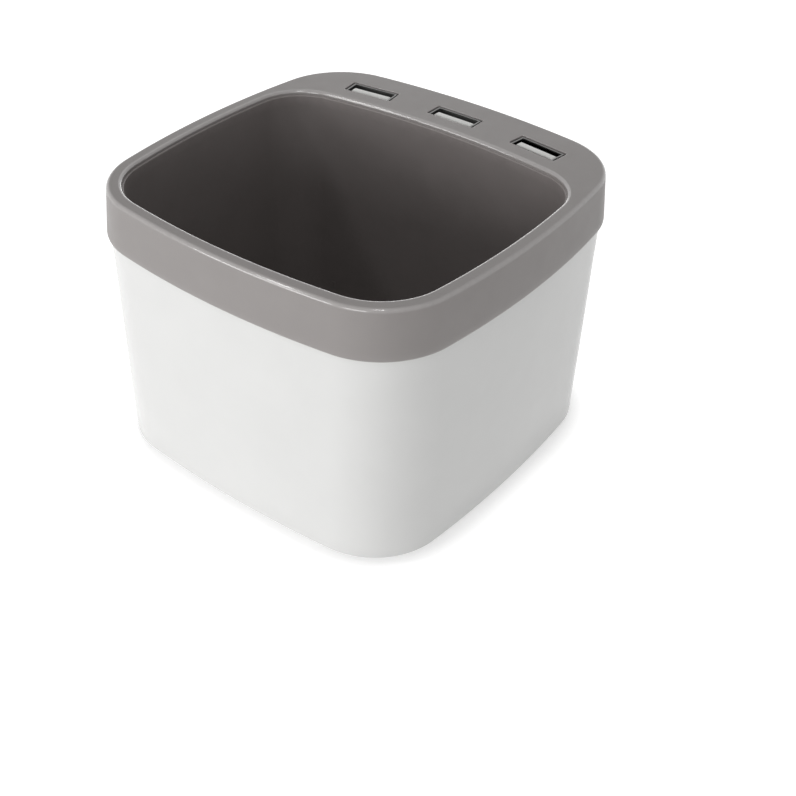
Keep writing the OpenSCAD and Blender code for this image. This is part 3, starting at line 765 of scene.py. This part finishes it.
def foot_rings(surface, x, y):
    """Pad, screw hole, head recess and foot recess above one foot, as one turned skin.

    Returns the pad's ring in the inner floor and the recess's ring in the underside.
    """
    s = sizes()
    floor = WALL_LOW.z + s.shell_floor_t
    pad_top = POCKET_LOW.z
    clamped = 1.2 * MM
    head_z = pad_top - clamped
    recess_z = FOOT_HIGH.z
    pad_r, screw_r, head_r = 4.5 * MM, 1.25 * MM, 2.45 * MM
    recess_r = (FOOT_HIGH.x - FOOT_LOW.x) / 2 + 0.2 * MM
    edge = 0.25 * MM
    section = [(pad_r + edge + STRIP, floor)]
    section += round_up(pad_r, floor, edge, 4)
    section += [(pad_r, pad_top), (screw_r, pad_top), (screw_r, head_z), (head_r, head_z),
                (head_r, recess_z), (recess_r, recess_z), (recess_r, WALL_LOW.z + edge)]
    section += [(r, 2 * WALL_LOW.z - z) for r, z in round_in(recess_r, WALL_LOW.z, edge, 4)]
    section.append((recess_r + edge + STRIP, WALL_LOW.z))
    rings = [at_height(circle_line(r) + (x, y), z) for r, z in section]
    surface.skin(rings)
    return rings[0], rings[-1]


def build_wall():
    """White cup: drafted wall, rounded foot, lip under the rim, and the inlet's recess behind."""
    s = sizes()
    seam = TOP_Z - s.rim_h
    floor = WALL_LOW.z + s.shell_floor_t
    low_r, floor_r, top_r = s.shell_edge_r, 2.5 * MM, 0.15 * MM
    lip_out, lip_in = s.rim_t + s.lip_gap, s.shell_step + s.shell_t
    lip_r = 0.25 * MM
    # The rings lie closer together from this far below the inlet's middle
    dense = 4.2 * MM
    edge_z = edge_height()
    heights = np.concatenate([
        np.linspace(edge_z + low_r, INLET_Z - dense, 26)[:-1],
        np.linspace(INLET_Z - dense, seam - top_r - 0.02 * MM, 28)])
    window = wall_window(heights)

    def under(inset, z):
        return at_height(wall_line(edge_z, inset), z)

    low = [(s.skirt_in + top_r + STRIP, WALL_LOW.z)]
    low += round_up(s.skirt_in, WALL_LOW.z, top_r, 3)
    low += [(s.skirt_in, edge_z), (low_r + STRIP, edge_z)]
    low += round_up(0, edge_z, low_r)
    rings = [under(inset, z) for inset, z in low[:-1]]
    # Half-strength edge mask on the lower edge's rounding: polish and a painted highlight line.
    polish_and_highlight = [0] * (len(rings) - 5) + [0.5] * 5
    start = len(rings)
    rings += [at_height(wall_line(z), z) for z in heights]
    polish_and_highlight += [0] * len(heights)
    # Full edge mask on the top edge under the rim: polish and a painted bright line.
    section = round_in(s.shell_step, seam, top_r, 4, 1)
    section += [(lip_out, seam, 0), (lip_out, WALL_HIGH.z - lip_r, 0)]
    section += round_in(lip_out, WALL_HIGH.z, lip_r, 3, 0)
    section += [(lip_in, WALL_HIGH.z, 0), (lip_in, seam, 0)]
    rings += [at_height(body_line(off), z) for off, z, _ in section]
    polish_and_highlight += [w for _, _, w in section]
    inner_heights = heights[heights > floor + floor_r][::-1]
    inner = [at_height(wall_line(z, s.shell_t), z) for z in inner_heights]
    inner += [at_height(wall_line(floor + floor_r, s.shell_t + floor_r * (1 - math.cos(a))),
                        floor + floor_r * (1 - math.sin(a))) for a in quarter()]
    inner.append(at_height(wall_line(floor + floor_r, s.shell_t + floor_r + STRIP), floor))

    surface = Surface()
    i0, i1, j0, j1 = window
    surface.skin(rings, polish_and_highlight, (start + i0, start + i1, j0, j1))
    surface.skin([rings[-1]] + inner, None,
                 (len(heights) - i1, len(heights) - i0, j0, j1))
    inlet_patch(surface, heights, window)
    rings_of_feet = [foot_rings(surface, x, y) for x in (-FOOT_X, FOOT_X) for y in (-FOOT_X, FOOT_X)]
    surface.flat([inner[-1]] + [pad for pad, _ in rings_of_feet], True)
    surface.flat([rings[0]] + [recess for _, recess in rings_of_feet], False)
    return surface.piece("cup_wall", white_gloss(), "white_plastic", "outer_shell")


def cutout_rings(index):
    """One socket's cut-out in the shelf: rounded edge, upright wall, and its ring underneath."""
    s, p = sizes(), ports()
    edge = 0.22 * MM

    def ring(grow, z):
        line = rect_line(p.cut_w + 2 * grow, p.cut_h + 2 * grow, p.cut_r + grow)
        return at_height(on_curve(line + (0, p.cut_y), index * p.pitch, p.back), z)

    rings = [ring(edge + STRIP, TOP_Z)]
    rings += [ring(edge * (1 - math.sin(a)), TOP_Z - edge * (1 - math.cos(a))) for a in quarter(5)]
    rings += [ring(0, TOP_Z - s.top_t), ring(STRIP, TOP_Z - s.top_t)]
    # The cut-out's rounded edge gets the edge mask at 0.3: polish and a faint painted highlight.
    return rings, [0] + [0.3] * 6 + [0, 0]


def boss_rings(side):
    """One boss under the shelf with its screw hole, from the hole's end out to the plate."""
    s, p = sizes(), ports()
    outer, hole, edge = p.boss_d / 2, p.boss_hole_d / 2, 0.4 * MM
    plate = TOP_Z - s.top_t
    hole_top = BOARD_TOP + 6 * MM
    section = [(CORE, hole_top), (hole, hole_top), (hole, BOARD_TOP), (outer, BOARD_TOP),
               (outer, plate - edge)]
    section += round_in(outer, plate, edge, 4)
    section.append((outer + edge + STRIP, plate))
    return [at_height(on_curve(circle_line(r, 48), side * p.pitch / 2, p.boss_back), z)
            for r, z in section]


def build_rim():
    """Grey frame: band, top with ledge and shelf, cut-outs, and the bosses beneath."""
    s = sizes()
    seam = TOP_Z - s.rim_h
    plate = TOP_Z - s.top_t
    inner_r, lead_in = 0.4 * MM, 0.25 * MM
    rebate = s.pocket_t - s.pocket_step + 0.1 * MM
    top_r, low_r = s.rim_top_r, s.rim_low_r
    section = [(s.rim_t + inner_r + STRIP, plate, 0)]
    section += [(off, 2 * plate - z, 0) for off, z in round_up(s.rim_t, plate, inner_r, 4)]
    section += [(s.rim_t, seam + lead_in, 0), (s.rim_t - lead_in, seam, 0)]
    # A faint edge mask on the lower edge: polish and a slight painted highlight.
    section += round_up(0, seam, low_r, ROUND_STEPS, 0.1)
    for share in np.linspace(0, 1, 9)[1:-1]:
        z = seam + low_r + share * (s.rim_h - low_r - top_r)
        section.append((s.rim_draft * share, z, 0))
    # The outer top edge's mask peaks half-way round the rounding: polish and a painted highlight line there.
    section += [(*point, math.sin(2 * a))
                for point, a in zip(round_in(s.rim_draft, TOP_Z, top_r, 10), quarter(10))]
    section.append((s.rim_draft + top_r + STRIP, TOP_Z, 0))
    surface = Surface()
    band = [at_height(body_line(off), z) for off, z, _ in section]
    surface.skin(band, [w for _, _, w in section])

    mouth = [at_height(open_line(-s.mouth_r - STRIP), TOP_Z)]
    mouth += [at_height(open_line(-s.mouth_r * (1 - math.sin(a))), TOP_Z - s.mouth_r * (1 - math.cos(a)))
              for a in quarter(6)]
    mouth += [at_height(open_line(0), TOP_Z - s.mouth_h), at_height(open_line(-rebate), TOP_Z - s.mouth_h),
              at_height(open_line(-rebate), plate), at_height(open_line(-rebate - STRIP), plate)]
    # Full edge mask on the mouth's rounding: polish and a painted highlight line along the inner edge.
    surface.skin(mouth, [0] + [1] * 7 + [0] * 4)

    tops, lows = [], []
    for index in (-1, 0, 1):
        rings, polish_and_highlight = cutout_rings(index)
        surface.skin(rings, polish_and_highlight)
        tops.append(rings[0])
        lows.append(rings[-1])
    for side in (-1, 1):
        rings = boss_rings(side)
        surface.skin(rings)
        surface.flat([rings[0]], False)
        lows.append(rings[-1])
    surface.flat([band[-1], mouth[0], *tops], True)
    surface.flat([band[0], mouth[-1], *lows], False)
    return surface.piece("rim_frame", grey_satin(), "grey_plastic", "rim")


def build_pocket():
    """Drafted pocket with round floor edge, its top face under the rim, and four screw bosses."""
    s = sizes()
    top, low = POCKET_HIGH.z, s.pocket_floor - s.pocket_t
    fr, edge = s.pocket_floor_r, s.pocket_step
    low_off = pocket_off(low + fr) - s.pocket_t
    floor_off = pocket_off(s.pocket_floor + fr)
    section = [(low_off + fr + STRIP, low, 0)]
    section += round_up(low_off, low, fr, ROUND_STEPS, 0)
    section += [(pocket_off(z) - s.pocket_t, z, 0) for z in np.linspace(low + fr, top, 12)[1:-1]]
    # The top edge's rounding gets the edge mask: polish and a painted highlight line.
    section += [(s.pocket_step - s.pocket_t, top, 0), (0, top, 0.4)]
    section += [(edge * math.sin(a), top - edge * (1 - math.cos(a)), 1) for a in quarter(6)[1:]]
    section += [(pocket_off(z), z, 0) for z in np.linspace(top - edge, s.pocket_floor + fr, 24)[1:]]
    section += [(floor_off + fr * (1 - math.cos(a)), s.pocket_floor + fr * (1 - math.sin(a)), 0)
                for a in quarter(12)[1:]]
    section.append((floor_off + fr + STRIP, s.pocket_floor, 0))
    surface = Surface()
    surface.closed([at_height(open_line(off), z) for off, z, _ in section], [w for _, _, w in section])
    boss_r, hole_r, hole_h = 3.5 * MM, 1.1 * MM, 3.8 * MM
    for x in (-FOOT_X, FOOT_X):
        for y, height in ((-FOOT_X, low + 0.6 * MM), (FOOT_X, low + 8 * MM)):
            section = [(CORE, POCKET_LOW.z + hole_h), (hole_r, POCKET_LOW.z + hole_h),
                       (hole_r, POCKET_LOW.z), (boss_r, POCKET_LOW.z), (boss_r, height), (CORE, height)]
            surface.closed([at_height(circle_line(r, 48) + (x, y), z) for r, z in section])
    return surface.piece("pen_pocket", pocket_matt(), "grey_plastic", "pocket")


def narrowed(points):
    """Draws the flared mouth of a socket in, so that a dark gap is left around it."""
    p = ports()
    limit = np.array([p.lip_w, p.lip_h]) / 2
    points[:, :2] = np.clip(points[:, :2], -limit, limit)
    return points


def lifted(points):
    """Moves the contacts against the tongue's front face and up with its tip."""
    p = ports()
    sunk, rise = 0.2 * MM, 0.4 * MM
    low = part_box("socket_contacts_mid")[0].y - SOCKET_Y
    points[:, 1] += p.tongue_y - p.tongue_t / 2 - sunk - low
    points[:, 2] = np.where(points[:, 2] > BOARD_TOP + MM, points[:, 2] + rise, points[:, 2])
    return points


def build_tongue(name, node, index, finish):
    """White insulator: a block in the foot of the socket, and the round-tipped tongue on it."""
    p = ports()
    tip, top, r = TOP_Z - p.tongue_drop, BOARD_TOP + p.block_h, p.tongue_tip
    w, t = p.tongue_w, p.tongue_t
    middle = (p.tongue_x, p.tongue_y)
    section = [(p.block_w, p.block_d, (0, 0), BOARD_TOP), (p.block_w, p.block_d, (0, 0), top),
               (w, t, middle, top)]
    section += [(w - 4 * r * (1 - math.cos(a)), t - 2 * r * (1 - math.cos(a)), middle,
                 tip - r * (1 - math.sin(a))) for a in quarter(6)]
    surface = Surface()
    surface.closed([at_height(on_curve(rect_line(x, y, 0.2 * MM) + place, index * p.pitch, p.back), z)
                    for x, y, place, z in section])
    return surface.piece(name, finish, "white_insulator", node)


def build_foot(name, node, finish):
    """Rubber disc, turned: rounded lower edge and a shallow ring groove in the face it stands on."""
    low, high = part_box(node)
    middle = ((low.x + high.x) / 2, (low.y + high.y) / 2)
    r = (high.x - low.x) / 2
    edge, groove = 0.35 * MM, 0.2 * MM
    section = [(0.1 * MM, low.z), (0.44 * r, low.z), (0.48 * r, low.z + groove), (0.6 * r, low.z + groove),
               (0.64 * r, low.z), (r - edge, low.z)]
    section += [(r - edge + edge * math.sin(a), low.z + edge * (1 - math.cos(a))) for a in quarter(6)[1:]]
    section += [(r, high.z - 0.2 * MM), (r - 0.2 * MM, high.z), (0.1 * MM, high.z)]
    surface = Surface()
    surface.closed([at_height(circle_line(x) + middle, z) for x, z in section])
    return surface.piece(name, finish, "rubber", node)


# Operators


class CUP_OT_wall(bpy.types.Operator):
    """Make the white cup"""

    bl_idname = "cup.wall"
    bl_label = "White cup"

    def execute(self, context):
        build_wall()
        return {"FINISHED"}


class CUP_OT_rim(bpy.types.Operator):
    """Make the grey rim frame with its shelf"""

    bl_idname = "cup.rim"
    bl_label = "Rim frame"

    def execute(self, context):
        build_rim()
        return {"FINISHED"}


class CUP_OT_pocket(bpy.types.Operator):
    """Make the pen pocket"""

    bl_idname = "cup.pocket"
    bl_label = "Pen pocket"

    def execute(self, context):
        build_pocket()
        return {"FINISHED"}


class CUP_OT_feet(bpy.types.Operator):
    """Make the four rubber feet"""

    bl_idname = "cup.feet"
    bl_label = "Feet"

    def execute(self, context):
        finish = rubber_matt()
        for corner in ("fl", "fr", "bl", "br"):
            build_foot("rubber_pad_" + corner, "foot_" + corner, finish)
        return {"FINISHED"}


class CUP_OT_sockets(bpy.types.Operator):
    """Make the steel shells, tongues and contacts of the three sockets"""

    bl_idname = "cup.sockets"
    bl_label = "Sockets"

    def execute(self, context):
        c = colours()
        steel = plated_steel("socket_steel_sheet", c.dark_steel, 0.36, (1, 1, 0.06))
        white = moulded("socket_insulator", c.tongue, 0.38, 0.004 * MM)
        gold = plated_steel("contact_gold", c.gold, 0.22, (1, 1, 0.08))
        for index, side in enumerate(SIDES, -1):
            softened("steel_socket_" + side, "socket_shell_" + side, steel, "socket_steel", 0.06 * MM,
                     index=index, shape=narrowed)
            build_tongue("tongue_" + side, "socket_tongue_" + side, index, white)
            softened("contacts_" + side, "socket_contacts_" + side, gold, "contact_brass", 0.05 * MM,
                     index=index, shape=lifted)
        return {"FINISHED"}


class CUP_OT_board(bpy.types.Operator):
    """Make the board with its chip, crystal and capacitors"""

    bl_idname = "cup.board"
    bl_label = "Board and components"

    def execute(self, context):
        c = colours()
        black = moulded("chip_moulding", c.black, 0.5, 0.01 * MM)
        can = plated_steel("drawn_can_metal", c.steel, 0.26, (0.08, 1, 1))
        softened("circuit_board", "hub_board", board_mask(), "board", 0.08 * MM)
        softened("chip_body", "hub_chip", black, "chip_plastic", 0.03 * MM, 1)
        softened("crystal_can", "crystal", can, "can_metal", 0.15 * MM, 3)
        for side in ("left", "right"):
            softened("capacitor_can_" + side, "capacitor_" + side, can, "can_metal", 0.1 * MM)
        return {"FINISHED"}


class CUP_OT_inlet(bpy.types.Operator):
    """Make the cable inlet's shell and tongue"""

    bl_idname = "cup.inlet"
    bl_label = "Cable inlet"

    def execute(self, context):
        c = colours()
        steel = plated_steel("inlet_steel_sheet", c.steel, 0.28, (0.08, 1, 1))
        black = moulded("inlet_insulator", c.black, 0.42, 0.006 * MM)
        softened("steel_inlet", "inlet_shell", steel, "socket_steel", 0.06 * MM)
        softened("inlet_insulator", "inlet_tongue", black, "chip_plastic", 0.05 * MM)
        return {"FINISHED"}


class CUP_OT_screws(bpy.types.Operator):
    """Make the floor screws and the board screws"""

    bl_idname = "cup.screws"
    bl_label = "Screws"

    def execute(self, context):
        steel = plated_steel("screw_steel", colours().steel, 0.34, (1, 1, 0.2))
        names = ["body_screw_" + corner for corner in ("fl", "fr", "bl", "br")]
        names += ["board_screw_left", "board_screw_right"]
        for name in names:
            softened("turned_" + name, name, steel, "screw_steel", 0.1 * MM, 3)
        return {"FINISHED"}


# Strength of the even light from all around
AMBIENT = 0.375
# Light that the floor itself gives off to the cup
BOUNCE = 0.19
# What is added to the floor beside the cup and farther out, where it is seen; the smaller value beside the
# cup paints a darker band of shade round it
PAINTED_SHADE_GLOW, GLOW_FAR = 0.42, 0.78
# Distances from the cup's middle between which it changes, where the painted shade fades out
GLOW_START, GLOW_END = 49 * MM, 55 * MM
# Colour of the floor
FLOOR_BASE = 0.8
# Name, azimuth and elevation in degrees, distance, width, height and power in watts
LAMPS = (
    ("low_left_softbox", -27, 8, 0.9, 0.4, 0.25, 1.85),
    ("edge_strip", -35, 42, 0.84, 0.08, 0.12, 0.5),
    ("low_front_softbox", 12, 12, 0.9, 0.4, 0.3, 1.65),
    ("corner_softbox", 38, 60, 0.9, 0.14, 0.12, 0.5),
    ("back_left_strip", -149, 11, 0.9, 0.5, 0.1, 0.5),
)


def aimed(obj, place, target):
    """Puts obj at place, looking at target along its own -Z."""
    obj.location = place
    obj.rotation_mode = "QUATERNION"
    obj.rotation_quaternion = (Vector(target) - Vector(place)).to_track_quat("-Z", "Y")


def softbox(name, azimuth, elevation, distance, width, height, power):
    """Rectangular lamp towards the cup; azimuth 0 is in front and grows to the right."""
    data = bpy.data.lights.new(name, "AREA")
    data.shape = "RECTANGLE"
    data.size, data.size_y = width, height
    data.energy = power
    a, e = math.radians(azimuth), math.radians(elevation)
    back = Vector((math.sin(a) * math.cos(e), -math.cos(a) * math.cos(e), math.sin(e)))
    target = Vector((0, 0, 0.045))
    aimed(linked(name, data), target + back * distance, target)


def seen_share(nodes, links):
    """1 for camera, glossy and transmission rays, which see the backdrop white; else 0."""
    path = nodes.new("ShaderNodeLightPath")
    total = path.outputs["Is Camera Ray"]
    for name in ("Is Glossy Ray", "Is Transmission Ray"):
        add = nodes.new("ShaderNodeMath")
        add.operation = "MAXIMUM"
        links.new(total, add.inputs[0])
        links.new(path.outputs[name], add.inputs[1])
        total = add.outputs[0]
    return total


def studio_world(ambient):
    """Even soft light of strength ambient, seen as plain white."""
    world = bpy.data.worlds.new("studio")
    world.use_nodes = True
    nodes, links = world.node_tree.nodes, world.node_tree.links
    background = nodes["Background"]
    background.inputs["Color"].default_value = (1, 1, 1, 1)
    strength = nodes.new("ShaderNodeMapRange")
    strength.inputs["To Min"].default_value = ambient
    strength.inputs["To Max"].default_value = 1
    links.new(seen_share(nodes, links), strength.inputs["Value"])
    links.new(strength.outputs["Result"], background.inputs["Strength"])
    bpy.context.scene.world = world


def studio_floor(base):
    """Pale floor that keeps the cup's soft shadow and is lifted to white where it is seen.

    The lift grows with the distance (x^4 + y^4)^(1/4), which follows the cup's outline, so a darker band of
    painted shade lies round the cup on top of its real shadow. From below the floor is clear.
    """
    half, low = 1.6, -0.02 * MM
    mesh = bpy.data.meshes.new("studio_floor")
    mesh.from_pydata([(-half, -half, low), (half, -half, low), (half, half, low), (-half, half, low)],
                     [], [(0, 1, 2, 3)])
    f = Finish("studio_floor", 1, specular=0)
    nodes, links = f.nodes, f.links
    f.shader.inputs["Base Color"].default_value = (base, base, base, 1)
    f.shader.inputs["Emission Color"].default_value = (1, 1, 1, 1)
    parts = f.node("ShaderNodeSeparateXYZ", Vector=f.place).outputs
    total = f.math("ADD", f.math("POWER", f.math("ABSOLUTE", parts["X"], 0), 4),
                   f.math("POWER", f.math("ABSOLUTE", parts["Y"], 0), 4))
    # Less lift near the cup: painted shade round its outline.
    glow = f.ranged(f.math("POWER", total, 0.25), GLOW_START, GLOW_END, PAINTED_SHADE_GLOW, GLOW_FAR)
    lift = f.ranged(seen_share(nodes, links), 0, 1, BOUNCE, glow)
    links.new(lift, f.shader.inputs["Emission Strength"])
    clear, choice = nodes.new("ShaderNodeBsdfTransparent"), nodes.new("ShaderNodeMixShader")
    links.new(nodes.new("ShaderNodeNewGeometry").outputs["Backfacing"], choice.inputs[0])
    links.new(f.shader.outputs[0], choice.inputs[1])
    links.new(clear.outputs[0], choice.inputs[2])
    links.new(choice.outputs[0], nodes["Material Output"].inputs["Surface"])
    mesh.materials.append(f.material)
    linked("studio_floor", mesh)


def studio_camera():
    """Camera at the front right and above, with a small roll and off-centre framing.

    The view's middle is the image point that the camera looks along, in pixels of a square
    image, so the shift is its distance from the image's centre in image widths.
    """
    azimuth, elevation, roll = math.radians(38.21), math.radians(33.42), math.radians(0.71)
    distance, focal_px, image_px = 348.8 * MM, 1342.4, 796
    middle_x, middle_y = 357.4, 305.3
    back = np.array([math.sin(azimuth) * math.cos(elevation), -math.cos(azimuth) * math.cos(elevation),
                     math.sin(elevation)])
    right = np.array([math.cos(azimuth), math.sin(azimuth), 0])
    up = np.cross(back, right)
    turned_right = right * math.cos(roll) + up * math.sin(roll)
    turned_up = up * math.cos(roll) - right * math.sin(roll)
    data = bpy.data.cameras.new("photo_camera")
    data.sensor_width = 36
    data.lens = focal_px / image_px * data.sensor_width
    data.shift_x = (image_px / 2 - middle_x) / image_px
    data.shift_y = (middle_y - image_px / 2) / image_px
    data.clip_start, data.clip_end = 0.01, 20
    camera = linked("photo_camera", data)
    place = np.array([0, 0, 35 * MM]) + back * distance
    camera.matrix_world = Matrix.Translation(place) @ Matrix(
        np.column_stack([turned_right, turned_up, back]).tolist()).to_4x4()
    bpy.context.scene.camera = camera


class CUP_OT_stage(bpy.types.Operator):
    """Make the floor, the soft light and the camera"""

    bl_idname = "cup.stage"
    bl_label = "Studio"

    def execute(self, context):
        context.scene.view_settings.view_transform = "Standard"
        studio_world(AMBIENT)
        studio_floor(FLOOR_BASE)
        for lamp in LAMPS:
            softbox(*lamp)
        studio_camera()
        return {"FINISHED"}


class CUP_PT_panel(bpy.types.Panel):
    """Lists the pieces of the desk cup"""

    bl_idname = "CUP_PT_panel"
    bl_label = "Desk cup"
    bl_space_type = "VIEW_3D"
    bl_region_type = "UI"
    bl_category = "Desk cup"

    def draw(self, context):
        for operator in OPERATORS:
            self.layout.operator(operator.bl_idname)


OPERATORS = (CUP_OT_wall, CUP_OT_rim, CUP_OT_pocket, CUP_OT_feet, CUP_OT_sockets, CUP_OT_board,
             CUP_OT_inlet, CUP_OT_screws, CUP_OT_stage)
CLASSES = (CupSizes, SocketSizes, CupColours, *OPERATORS, CUP_PT_panel)


def register():
    """Registers the classes and hangs the settings on the scene."""
    for cls in CLASSES:
        bpy.utils.register_class(cls)
    bpy.types.Scene.cup_sizes = PointerProperty(type=CupSizes)
    bpy.types.Scene.socket_sizes = PointerProperty(type=SocketSizes)
    bpy.types.Scene.cup_colours = PointerProperty(type=CupColours)


def unregister():
    """Takes the settings and classes away again."""
    del bpy.types.Scene.cup_sizes, bpy.types.Scene.socket_sizes, bpy.types.Scene.cup_colours
    for cls in reversed(CLASSES):
        bpy.utils.unregister_class(cls)


def main():
    register()
    for operator in OPERATORS:
        group, name = operator.bl_idname.split(".")
        if getattr(getattr(bpy.ops, group), name)() != {"FINISHED"}:
            raise RuntimeError(operator.bl_label + " wasn't made")


if __name__ == "__main__":
    main()
